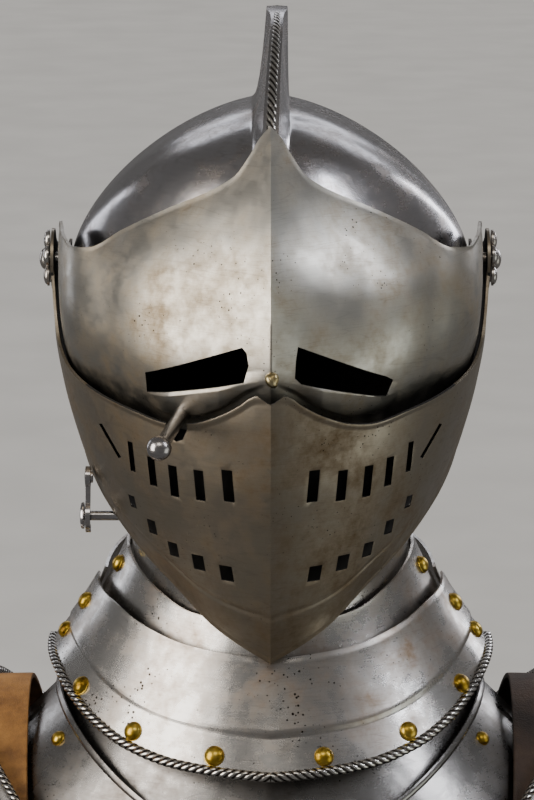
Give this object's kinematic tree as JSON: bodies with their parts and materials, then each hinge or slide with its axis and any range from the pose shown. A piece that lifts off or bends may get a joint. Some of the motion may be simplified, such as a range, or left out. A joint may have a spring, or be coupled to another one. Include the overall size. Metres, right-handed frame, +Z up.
{
  "type": "corselet armour",
  "caption": "Plate corselet with a combed, visored close helmet, flared neck lames, gorget, pauldrons, breast and back plates and tassets, hollow as worn",
  "frame": {"origin": "the centre of the neck, level with the top of the gorget's collar, where the wearer carries the armour", "axes": "+Z up, the front of the armour faces -Y, the wearer's right is -X"},
  "size_m": [0.5308, 0.3265, 0.9693],
  "materials": {
    "helmet_steel": "polished steel plate with a light brushed grain, pitting and brown patina",
    "body_steel": "polished steel plate, slightly duller, with brown patina at the edges",
    "strap_leather": "tan strap leather with burnished edges"
  },
  "bodies": {
    "harness": {"skull": "helmet_steel", "pivot_right": "helmet_steel", "pivot_left": "helmet_steel", "rear_neck_lame_upper": "helmet_steel", "rear_neck_lame_lower": "helmet_steel", "collar_front": "body_steel", "collar_rear": "body_steel", "gorget_front": "body_steel", "gorget_rear": "body_steel", "breastplate": "body_steel", "backplate": "body_steel", "fauld_upper": "body_steel", "fauld_lower": "body_steel", "culet_upper": "body_steel", "culet_lower": "body_steel", "shoulder_strap_right": "strap_leather", "shoulder_strap_left": "strap_leather", "side_strap_right": "strap_leather", "side_strap_left": "strap_leather", "fauld_strap_inner_right": "strap_leather", "fauld_strap_inner_left": "strap_leather", "fauld_strap_outer_right": "strap_leather", "fauld_strap_outer_left": "strap_leather", "pauldron_tab_right": "strap_leather", "pauldron_tab_left": "strap_leather"},
    "chin_guard": {"bevor": "helmet_steel", "front_neck_lame_upper": "helmet_steel", "front_neck_lame_lower": "helmet_steel", "lock_stud": "helmet_steel"},
    "face_guard": {"ventail": "helmet_steel"},
    "brow_guard": {"visor": "helmet_steel", "visor_peg": "helmet_steel"},
    "hook": {"lock_hook": "helmet_steel"},
    "shoulder_right": {"pauldron_right": "body_steel"},
    "shoulder_left": {"pauldron_left": "body_steel"},
    "arm_right": {"arm_lames_right": "body_steel"},
    "arm_left": {"arm_lames_left": "body_steel"},
    "thigh_right": {"tasset_right": "body_steel", "tasset_tab_inner_right": "strap_leather", "tasset_tab_outer_right": "strap_leather"},
    "thigh_left": {"tasset_left": "body_steel", "tasset_tab_inner_left": "strap_leather", "tasset_tab_outer_left": "strap_leather"}
  },
  "joints": [
    {"name": "bevor_raise", "type": "hinge", "parent": "harness", "child": "chin_guard", "pos_m": [0, 0, 0.205], "axis": [-1, 0, 0], "range_deg": [0, 32]},
    {"name": "ventail_raise", "type": "hinge", "parent": "chin_guard", "child": "face_guard", "pos_m": [0, 0, 0.205], "axis": [-1, 0, 0], "range_deg": [0, 35]},
    {"name": "visor_raise", "type": "hinge", "parent": "face_guard", "child": "brow_guard", "pos_m": [0, 0, 0.205], "axis": [-1, 0, 0], "range_deg": [0, 38]},
    {"name": "hook_swing", "type": "hinge", "parent": "face_guard", "child": "hook", "pos_m": [-0.0866, -0.04, 0.104], "axis": [-1, 0, 0], "range_deg": [0, 50]},
    {"name": "pauldron_lift_right", "type": "hinge", "parent": "harness", "child": "shoulder_right", "pos_m": [-0.15, 0.015, -0.022], "axis": [0, 1, 0], "range_deg": [0, 12]},
    {"name": "pauldron_lift_left", "type": "hinge", "parent": "harness", "child": "shoulder_left", "pos_m": [0.15, 0.015, -0.022], "axis": [0, -1, 0], "range_deg": [0, 12]},
    {"name": "arm_swing_right", "type": "hinge", "parent": "shoulder_right", "child": "arm_right", "pos_m": [-0.205, 0.015, -0.152], "axis": [0, 1, 0], "range_deg": [0, 10]},
    {"name": "arm_swing_left", "type": "hinge", "parent": "shoulder_left", "child": "arm_left", "pos_m": [0.205, 0.015, -0.152], "axis": [0, -1, 0], "range_deg": [0, 10]},
    {"name": "tasset_swing_right", "type": "hinge", "parent": "harness", "child": "thigh_right", "pos_m": [-0.0631, -0.1544, -0.48], "axis": [-0.759, 0.651, 0], "range_deg": [0, 35]},
    {"name": "tasset_swing_left", "type": "hinge", "parent": "harness", "child": "thigh_left", "pos_m": [0.0631, -0.1544, -0.48], "axis": [-0.759, -0.651, 0], "range_deg": [0, 35]}
  ]
}
